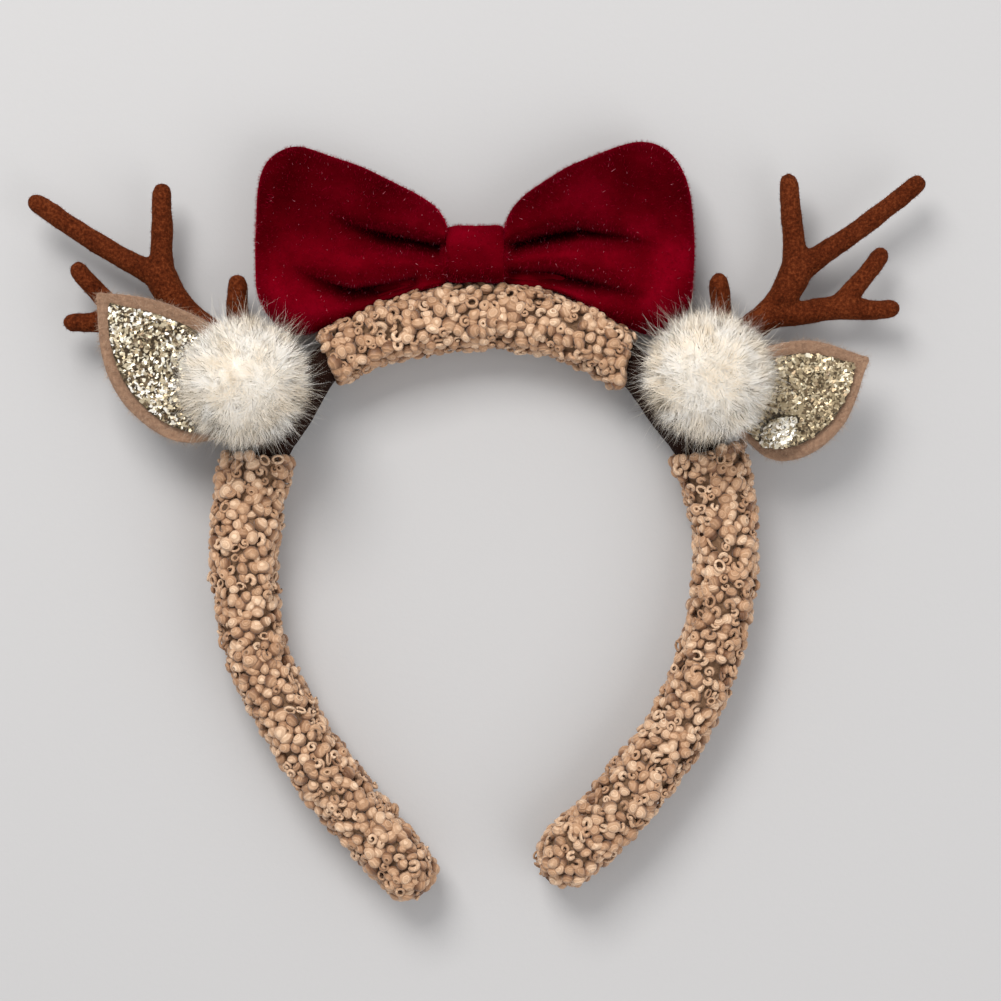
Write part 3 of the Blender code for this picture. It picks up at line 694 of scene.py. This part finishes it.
def flake_finish(name, steps):
    """Foil shards, darker or paler over wider patches. The steps are where each of
    the five paler tones begins."""
    made = Finish(name, metallic=0.6)
    tone = made.mix(made.each(), made.noise(0.010, 1.0), 0.42)
    tones = ((0.17, 0.120, 0.068), (0.38, 0.300, 0.185), (0.62, 0.53, 0.37),
             (0.84, 0.78, 0.63), (0.98, 0.95, 0.88))
    made.colour(made.ramp(tone, (0.0, (0.060, 0.040, 0.022)), *zip(steps, tones),
                          method="CONSTANT"))
    made.roughness(made.each(), 0.18, 0.42)
    made.bump(made.noise(0.0002, 1.0), 0.00002)
    return made.material


# Band and sleeves

def tube_faces(sides, spans):
    """Faces between rings of points that follow one another."""
    corner = np.arange(sides)
    following = (corner + 1) % sides
    span = np.stack([corner, following, following + sides, corner + sides], axis=1)
    return np.concatenate([span + k * sides for k in range(spans)])


def ball_shape(rng):
    """Yarn wound into a plump uneven ball round +Z, open underneath and sometimes
    with a small pit on top, in metres."""
    turn = np.arange(BALL_SIDES) * 2 * math.pi / BALL_SIDES
    around = np.stack([np.cos(turn), np.sin(turn), np.zeros(BALL_SIDES)], axis=1)
    squeeze, tall = rng.uniform(*BALL_SQUEEZES), rng.uniform(*BALL_RISES)
    two, three = BALL_LUMPS
    lump = 1.0 + two * np.sin(2 * turn + rng.uniform(0, 6)) + three * np.sin(3 * turn)
    eye, pit = BALL_TOPS[rng.integers(len(BALL_TOPS))]
    rings = [around * eye + (0, 0, pit)]
    for tilt in np.radians(BALL_TILTS):
        rings.append(around * lump[:, None] * math.sin(tilt) + (0, 0, math.cos(tilt)))
    points = np.concatenate(rings) * (CURL, CURL * squeeze, CURL_RISE * tall)
    sides = tube_faces(BALL_SIDES, len(BALL_TILTS))
    return points, np.roll(sides[:, ::-1], 1, axis=1)


def curl_line(kind, rng):
    """The line and thickness of a bit of curled yarn round +Z, in metres."""
    t = np.linspace(0.0, 1.0, CURL_STEPS)
    wobble = 1.0 + 0.10 * np.sin(t * rng.uniform(6, 14) + rng.uniform(0, 6))
    if kind == "coil":
        # Winds inward as it rises
        thick = YARN * 1.1
        angle = t * 2 * math.pi * rng.uniform(1.35, 1.65)
        radius = 0.78 * CURL * (1.0 - 0.85 * t ** 1.15) * wobble
        height = CURL_RISE * rng.uniform(0.8, 1.0) * t ** 0.85
    elif kind == "crescent":
        # Short, thick and highest in the middle
        thick = YARN * 1.55
        angle = t * 2 * math.pi * rng.uniform(0.70, 0.95)
        radius = 0.62 * CURL * (1.0 - 0.25 * t) * wobble
        height = CURL_RISE * (0.30 + 0.45 * np.sin(t * math.pi))
    else:
        # An open ring that stands up from its root and tilts
        thick = YARN * rng.uniform(0.85, 1.05)
        angle = t * 2 * math.pi * rng.uniform(0.95, 1.2)
        radius = CURL * rng.uniform(0.62, 0.80) * (1.0 - 0.22 * t) * wobble
        height = CURL_RISE * (0.80 + 0.25 * np.sin(angle * 0.9) - 0.9 * (1 - t) ** 6)
    squeeze = rng.uniform(0.78, 1.0)
    line = np.stack([radius * np.cos(angle), squeeze * radius * np.sin(angle), height], axis=1)
    return line, thick * np.minimum(1.0, 0.55 + 4.5 * np.minimum(t, 1 - t))


def curl_shape(kind, rng):
    """A bit of curled yarn: a coil, a thick crescent or an open ring."""
    line, thick = curl_line(kind, rng)
    ahead = unit(np.gradient(line, axis=0))
    out = unit(np.cross(ahead, (0.0, 0.0, 1.0)))
    over = np.cross(out, ahead)
    turns = np.arange(CURL_SIDES)[:, None] * 2 * math.pi / CURL_SIDES
    ring = np.cos(turns) * out[:, None] + np.sin(turns) * over[:, None]
    points = line[:, None] + ring * thick[:, None, None]
    return points.reshape(-1, 3), tube_faces(CURL_SIDES, CURL_STEPS - 1)


def away_from(spots, tree, reach):
    """Whether each spot lies further than a reach from a surface."""
    return np.array([tree.find_nearest(Vector(spot))[3] > reach for spot in spots])


def open_over(spots, normals, mesh):
    """Whether none of a tube's own mesh lies across from each spot on it, as it does
    for the spots inside the tube."""
    tree = tree_of_faces(mesh, mesh.polygons)
    rays = [(Vector(spot), Vector(normal)) for spot, normal in zip(spots, normals)]
    return np.array([tree.ray_cast(spot + ray * SKIN, ray, GIRTH)[0] is None
                     for spot, ray in rays])


def outside_of(sleeve, points, normals, core):
    """Whether each point of a sleeve is on its outside, where the pile is."""
    return away_from(points, core, CORE_REACH) & open_over(points, normals, sleeve)


def dress_sleeve(name, core, finishes, seed):
    """Cloth backing round the core, coloured as painted shade, under a dense pile of curled yarn.
    """
    rng = np.random.default_rng(seed)
    backing = smooth_piece(name, f"{name}_backing", finishes["backing"], 1)
    outer = outside_of(backing.data, points_of(backing.data), normals_of(backing.data), core)
    spots, normals = random_on(backing.data, CURL_TRIES, rng)
    clear = outside_of(backing.data, spots, normals, core)
    spots, normals = spots[clear], normals[clear]
    kept = thinned(spots, CURL_SPACING)
    spots, normals = spots[kept], normals[kept]
    push(backing.data, np.where(outer, -BACKING_DEPTH, 0.0))
    shapes = [ball_shape(rng) if kind == "ball" else curl_shape(kind, rng) for kind in CURL_KINDS]
    depth = rng.uniform(CURL_HIGH, CURL_LOW, (len(spots), 1))
    frames = frames_on(normals, rng, CURL_LEAN)
    sizes = rng.uniform(*CURL_SIZES, len(spots))
    placed, faces, heights = copies(shapes, spots - normals * depth, frames, sizes, rng)
    curls = new_piece(f"{name}_curls", mesh_from_arrays(name, lift_off_floor(placed), [faces]),
                      finishes["yarn"])
    paint(curls.data, HEIGHT, heights / CURL_RISE)


def dress_core(finishes):
    """The padded band in its dark cloth, slightly uneven along its length."""
    core = smooth_piece("band_core", "band_padding", finishes["band_cloth"], 2,
                        turn=BAND_SHARP)
    push(core.data, lumps(points_of(core.data), "band"))


# Bow

# Deep folds of each wing's front, from the knot outward. Columns: place in the
# wing's box, from the knot's side to the outer end and from the bottom to the top,
# as shares of the box.
WING_FOLDS = {
    "bow_wing_left": (
        ((0.10, 0.47), (0.40, 0.53), (0.66, 0.60)),
        ((0.24, 0.315), (0.56, 0.25), (0.84, 0.34)),
    ),
    "bow_wing_right": (
        ((0.10, 0.45), (0.32, 0.52), (0.47, 0.55), (0.66, 0.51), (0.85, 0.43)),
        ((0.10, 0.34), (0.36, 0.335), (0.58, 0.27), (0.80, 0.18)),
    ),
}
FOLD_DEEP = 0.0070          # depth of a fold
FOLD_STEEP = 0.0014         # reach of a fold's bank above its line
FOLD_GENTLE = 0.0046        # and below
FOLD_SWELL = 0.0018         # rise of the lobe above a fold
SWELL_PLACE = 0.0046        # how far above the fold
SWELL_REACH = 0.0030
FRONT_FADE = 0.004          # a fold fades over this height, from the wing's middle up
FOLD_START = 12             # how fast it deepens from its inner end, and fades outward
FOLD_END = 2.4
FOLD_CURVE = 0.8            # how evenly it fades outward, 1 for a straight fade
FOLD_SHADE = 0.94           # how far painted shade darkens the velvet in the fold
SHADE_STEEP = 0.0011        # reach of that shade above the fold's line, and below
SHADE_GENTLE = 0.0034
SHADE_TOP = 0.70              # painted tone near a wing's top, darker as painted shade
LOBE_LIGHT = 1.00             # how much paler it is along the middle lobe, as painted light
LOBE_PLACE = 0.29           # shares of the wing's height
LOBE_REACH = 0.26
PUFF = 0.00045              # of the velvet over its solid
KNOT_TONE = 1.3              # the knot's tone in the painted light and shade
KNOT_SHADE = 0.6            # how far painted shade darkens it at the lower end
KNOT_FADE = 0.004
PLEAT = 0.00012             # depth of the knot's pleats
PLEATS = 3                  # half waves across the knot


def along_line(points, line):
    """Distance of points from a broken line in the plane, how far along it they
    are, and whether they lie above it."""
    nearest = np.full(len(points), np.inf)
    place = np.zeros(len(points))
    above = np.zeros(len(points), bool)
    for index, (start, end) in enumerate(zip(line, line[1:])):
        start, span = np.array(start), np.array(end) - np.array(start)
        t = np.clip(((points - start) @ span) / (span @ span), 0, 1)
        away = points - start - t[:, None] * span
        gap = np.linalg.norm(away, axis=1)
        closer = gap < nearest
        nearest = np.where(closer, gap, nearest)
        place = np.where(closer, (index + t) / (len(line) - 1), place)
        above = np.where(closer, away[:, 1] > 0, above)
    return nearest, place, above


def dress_wing(name, finishes, seed):
    """A velvet loop with sharp folds pressed into its front, and its short pile."""
    rng = np.random.default_rng(seed)
    wing = smooth_piece(name, f"{name}_velvet", finishes["velvet"], 3,
                        turn=WING_SHARP)
    low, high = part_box(name)
    inner, outer = (high.x, low.x) if name.endswith("left") else (low.x, high.x)
    points = points_of(wing.data)
    front = np.clip((points[:, 2] - (low.z + high.z) / 2) / FRONT_FADE, 0, 1)
    up = (points[:, 1] - low.y) / (high.y - low.y)
    # Painted light and shade: darker near the wing's top, paler along its middle lobe and darker in
    # each fold
    tones = SHADE_TOP + LOBE_LIGHT * np.exp(-((up - LOBE_PLACE) / LOBE_REACH) ** 2)
    for line in WING_FOLDS[name]:
        placed = [(inner + (outer - inner) * x, low.y + (high.y - low.y) * y) for x, y in line]
        gap, place, above = along_line(points[:, :2], placed)
        ending = np.clip((1 - place) * FOLD_END, 0, 1) ** FOLD_CURVE
        fade = np.clip(place * FOLD_START, 0, 1) * ending
        reach = np.where(above, FOLD_STEEP, FOLD_GENTLE)
        drop = FOLD_DEEP * np.exp(-(gap / reach) ** 2)
        swell = FOLD_SWELL * above * np.exp(-((gap - SWELL_PLACE) / SWELL_REACH) ** 2)
        points[:, 2] += front * fade * (swell - drop)
        bank = np.where(above, SHADE_STEEP, SHADE_GENTLE)
        tones *= 1 - FOLD_SHADE * front * fade * np.exp(-(gap / bank) ** 2)
    set_points(wing.data, points)
    paint(wing.data, PAINTED_SHADING, tones)
    push(wing.data, PUFF + lumps(points, "wing"))
    pile = grow_fibres(f"{name}_pile", "wing", wing.data, finishes["velvet_pile"],
                       rng)


def dress_knot(finishes, seed):
    """The velvet strap round the bow's middle, slightly pleated along its length."""
    knot = smooth_piece("bow_knot", "bow_knot_velvet", finishes["velvet"], 2)
    points = points_of(knot.data)
    low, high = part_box("bow_knot")
    across = (points[:, 0] - low.x) / (high.x - low.x)
    pleats = np.sin(across * PLEATS * math.pi) * PLEAT
    # Painted shade, darkening the knot towards its lower end
    under_shade = np.clip((low.y + KNOT_FADE - points[:, 1]) / KNOT_FADE, 0, 1)
    paint(knot.data, PAINTED_SHADING, KNOT_TONE - KNOT_SHADE * under_shade)
    push(knot.data, PUFF + pleats + lumps(points, "knot"))
    pile = grow_fibres("bow_knot_pile", "knot", knot.data, finishes["velvet_pile"],
                       np.random.default_rng(seed))


def grow_fibres(name, kind, mesh, material, rng):
    """Short fibres that stand on a surface and lean a little at random."""
    count, length, width, lean = FIBRES[kind]
    spots, normals = random_on(mesh, count, rng)
    side = across_of(normals, rng)
    tall = length * rng.uniform(*FIBRE_SIZES, (count, 1))
    aims = (normals + side * rng.normal(0, lean, (count, 1))) * tall
    bends = across_of(normals, rng) * tall * FIBRE_BEND
    points, faces = strands(spots - normals * length * FIBRE_ROOT, aims, bends,
                            np.full(count, width), 1, rng)
    mesh = mesh_from_arrays(name, lift_off_floor(points), faces)
    return new_piece(name, mesh, material)


# Fur balls

def grow_fur(name, centre, radius, seat, material, rng):
    """Hair all round a ball's centre, down to the height of its seat from there."""
    directions = unit(rng.normal(size=(FUR_COUNT, 3)))
    lowest = (seat + FUR_ROOT_SEAT) / radius
    directions = directions[directions[:, 2] > lowest * SEAT_MARGIN]
    clumps = unit(rng.normal(size=(FUR_CLUMPS, 3)))
    nearest = np.argmax(directions @ clumps.T, axis=1)
    count = len(directions)
    combed = rng.normal(0, FUR_COMB, (FUR_CLUMPS, 3))[nearest]
    guard = rng.random((count, 1)) < GUARD_SHARE
    reach = radius * rng.uniform(*FUR_REACH, (count, 1))
    reach = np.where(guard, radius * rng.uniform(*GUARD_REACH, (count, 1)), reach)
    gathered = rng.uniform(*FUR_GATHER, (count, 1)) * np.where(guard, GUARD_GATHER, 1.0)
    tips = directions * (1 - gathered) + clumps[nearest] * gathered
    tips = unit(tips + combed + rng.normal(0, FUR_STRAY, (count, 3))) * reach
    tips[:, 2] = np.maximum(tips[:, 2], seat + FUR_END_SEAT)
    roots = directions * radius * FUR_ROOT
    roots[:, 2] = np.maximum(roots[:, 2], seat + FUR_ROOT_SEAT)
    ways = tips - roots
    straight = directions * np.linalg.norm(ways, axis=1, keepdims=True) * FUR_STRAIGHT
    width = FUR_WIDTH * rng.uniform(*FUR_WIDTHS, count) * np.where(guard[:, 0], GUARD_WIDTH, 1.0)
    turned = np.where(guard, GUARD_TURN, FUR_TURN) * rng.normal(0, 1.0, (count, 3))
    facing = directions + turned
    facing *= np.sign((facing * directions).sum(axis=1, keepdims=True))
    points, faces = strands(roots + centre, straight, ways - straight, width, FUR_SPANS, rng,
                            facing)
    mesh = mesh_from_arrays(name, points, faces)
    glints = rng.normal(0, FUR_GLINT, (count, 3))
    outward = unit(points - centre) + np.repeat(glints, len(points) // count, axis=0)
    mesh.normals_split_custom_set_from_vertices(unit(outward + (0, 0, FUR_LIFT)))
    new_piece(f"{name}_fur", mesh, material)


def dress_pompom(name, finishes, seed):
    """Long fine hair in soft clumps round a head that sits flat on the ear's root."""
    low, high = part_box(name)
    radius = (high.x - low.x) / 2
    centre = np.array([(low.x + high.x) / 2, (low.y + high.y) / 2, high.z - radius])
    head = remeshed_piece(name, f"{name}_head", finishes["fur_head"],
                          HEAD_VOXEL, HEAD_ROUNDS)
    points = points_of(head.data)
    shrink = np.clip((points[:, 2] - low.z) / SEAT_FADE, 0.0, 1.0)[:, None] * (1 - FUR_HEAD)
    set_points(head.data, points + (centre - points) * shrink)
    push(head.data, lumps(points_of(head.data), "pompom"))
    grow_fur(name, centre, radius, low.z - centre[2], finishes["fur"],
             np.random.default_rng(seed))


# Antlers

def dress_antler(name, finishes, seed):
    """Flocked tines with soft webs at their forks and a slightly lumpy surface."""
    antler = remeshed_piece(name, f"{name}_flocked", finishes["flock"],
                            TINE_VOXEL, TINE_ROUNDS)
    push(antler.data, FLOCK_DEPTH + lumps(points_of(antler.data), "antler"))
    grow_fibres(f"{name}_fibres", "antler", antler.data, finishes["flock_fibre"],
                np.random.default_rng(seed))


# Ears

def dress_ear(side, finishes, seed):
    """A felt ear with loose fibres along its edge, and its glitter inlay."""
    rng = np.random.default_rng(seed)
    name = f"ear_{side}_felt"
    felt = smooth_piece(name, f"ear_{side}_felt_body", finishes["felt"], 2,
                        crease=FELT_CREASE)
    push(felt.data, lumps(points_of(felt.data), "felt"))
    fuzz = grow_fibres(f"ear_{side}_fuzz", "felt", felt.data, finishes["felt_fibre"],
                       rng)
    leaf = "ear_right_fold" if side == "right" else None
    sheet, flakes = dress_glitter(f"ear_{side}_glitter", finishes, "glitter_edge_shadow",
                                  f"flake_{side}", SHEET_UP, rng, leaf)
    on_it = [flakes]
    if leaf:
        on_it += dress_glitter(leaf, finishes, "pale_edge", "flake_leaf", LEAF_UP, rng)


def flake_shape(rng):
    """A flat shard with uneven corners, one unit long to either side."""
    corners = np.arange(FLAKE_SIDES) + rng.uniform(-FLAKE_CORNER, FLAKE_CORNER, FLAKE_SIDES)
    turns = corners * 2 * math.pi / FLAKE_SIDES
    wide = rng.uniform(*FLAKE_WIDTHS)
    points = np.stack([np.cos(turns), wide * np.sin(turns), np.zeros(FLAKE_SIDES)], axis=1)
    return points, np.arange(FLAKE_SIDES)[None]


def dress_glitter(node, finishes, edge, foil, steep, rng, leaf=None):
    """A thin sheet with a plain cut edge, covered with small tilted shards except along the edge
    and round the leaf on it, where the bare dark sheet is painted shadow. Returns the sheet and its
    shards."""
    sheet = smooth_piece(node, f"{node}_sheet", finishes["glitter_sheet"], 2,
                         crease=SHEET_CREASE)
    sheet.data.materials.append(finishes[edge])
    # Rim faces take the edge finish: painted shadow on the ear's inlay
    rim = [face for face in sheet.data.polygons if face.normal.z < steep]
    for face in rim:
        face.material_index = 1
    cut = tree_of_faces(sheet.data, rim)
    spots, normals = random_on(sheet.data, FLAKE_TRIES, rng)
    clear = (normals[:, 2] > steep) & away_from(spots, cut, CUT_SHADOW)
    if leaf:
        clear &= away_from(spots, tree_of(leaf), LEAF_SHADOW)
    spots, normals = spots[clear], normals[clear]
    kept = thinned(spots, FLAKE_SPACING)
    spots, normals = spots[kept], normals[kept]
    frames = frames_on(normals, rng, FLAKE_LEAN)
    sizes = FLAKE * rng.uniform(*FLAKE_SIZES, len(spots))
    shapes = [flake_shape(rng) for _ in range(FLAKE_SHAPES)]
    points, faces, _ = copies(shapes, spots + normals * FLAKE_LIFT, frames, sizes, rng)
    mesh = mesh_from_arrays(f"{node}_flakes", points, [faces])
    mesh.shade_flat()
    flakes = new_piece(f"{node}_flakes", mesh, finishes[foil])
    return sheet, flakes


# Stage

def build_floor():
    corners = np.array([(-1, -1, 0), (1, -1, 0), (1, 1, 0), (-1, 1, 0)]) * FLOOR_REACH
    mesh = mesh_from_arrays("floor", corners, [np.array([[0, 1, 2, 3]])])
    floor = bpy.data.objects.new("floor", mesh)
    bpy.context.scene.collection.objects.link(floor)
    made = Finish("floor", base_color=(0.50, 0.50, 0.51, 1.0), roughness=0.9)
    made.bump(made.noise(0.002), 0.00005)
    mesh.materials.append(made.material)


def build_camera():
    """A camera that looks straight down. Its sensor and lens are in millimetres."""
    data = bpy.data.cameras.new("camera")
    data.sensor_width = SENSOR * 1000
    data.lens = SENSOR * 1000 * CAMERA_HEIGHT / VIEW_WIDTH
    camera = bpy.data.objects.new("camera", data)
    bpy.context.scene.collection.objects.link(camera)
    camera.location = (*VIEW_CENTRE, CAMERA_HEIGHT)
    bpy.context.scene.camera = camera


def add_light(name, place, size, power, colour):
    """A soft square light that faces the headband."""
    data = bpy.data.lights.new(name, "AREA")
    data.shape = "SQUARE"
    data.size = size
    data.energy = power
    data.color = colour
    light = bpy.data.objects.new(name, data)
    bpy.context.scene.collection.objects.link(light)
    light.location = place
    light.rotation_euler = (-Vector(place)).to_track_quat("-Z", "Y").to_euler()


def build_lights():
    add_light("key", (-0.35, 0.75, 1.05), size=0.62, power=14.0, colour=(1.0, 0.975, 0.94))
    add_light("fill", (0.8, -0.5, 1.0), size=1.0, power=5.5, colour=(1.0, 0.99, 0.98))
    world = bpy.data.worlds.new("studio")
    world.use_nodes = True
    back = world.node_tree.nodes["Background"]
    back.inputs["Color"].default_value = (1.0, 0.99, 0.98, 1.0)
    back.inputs["Strength"].default_value = 0.60
    bpy.context.scene.world = world
    bpy.context.scene.view_settings.view_transform = "Standard"


def make_finishes():
    return {
        "yarn": yarn_finish(),
        "backing": backing_shade_finish(),
        "band_cloth": band_cloth_finish(),
        "velvet": velvet_finish(),
        "velvet_pile": velvet_pile_finish(),
        "fur": fur_finish(),
        "fur_head": fur_head_finish(),
        "flock": flock_finish(),
        "flock_fibre": flock_fibre_finish(),
        "felt": felt_finish(),
        "felt_fibre": felt_fibre_finish(),
        "glitter_sheet": glitter_sheet_finish(),
        "glitter_edge_shadow": glitter_edge_shadow_finish(),
        "pale_edge": pale_edge_finish(),
        # One glitter, painted lighter on the left ear, darker on the right ear and lightest on the
        # raised leaf, as the light falls on each
        "flake_left": flake_finish("bright_foil", (0.33, 0.42, 0.49, 0.62, 0.70)),
        "flake_right": flake_finish("right_foil_shaded", (0.20, 0.36, 0.66, 0.78, 0.86)),
        "flake_leaf": flake_finish("leaf_foil_lit", (0.10, 0.16, 0.25, 0.36, 0.48)),
    }


def dress_headband():
    finishes = make_finishes()
    core = tree_of("band_core")
    for seed, name in enumerate(("sleeve_crown", "sleeve_left", "sleeve_right")):
        dress_sleeve(name, core, finishes, SEEDS["sleeve"] + seed)
    dress_core(finishes)
    for seed, side in enumerate(("left", "right")):
        dress_wing(f"bow_wing_{side}", finishes, SEEDS["wing"] + seed)
        dress_antler(f"antler_{side}", finishes, SEEDS["antler"] + seed)
        dress_ear(side, finishes, SEEDS["ear"] + seed)
        dress_pompom(f"pompom_{side}", finishes, SEEDS["pompom"] + seed)
    dress_knot(finishes, SEEDS["knot"])


clear_scene()
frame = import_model()
build_camera()
build_floor()
build_lights()
dress_headband()
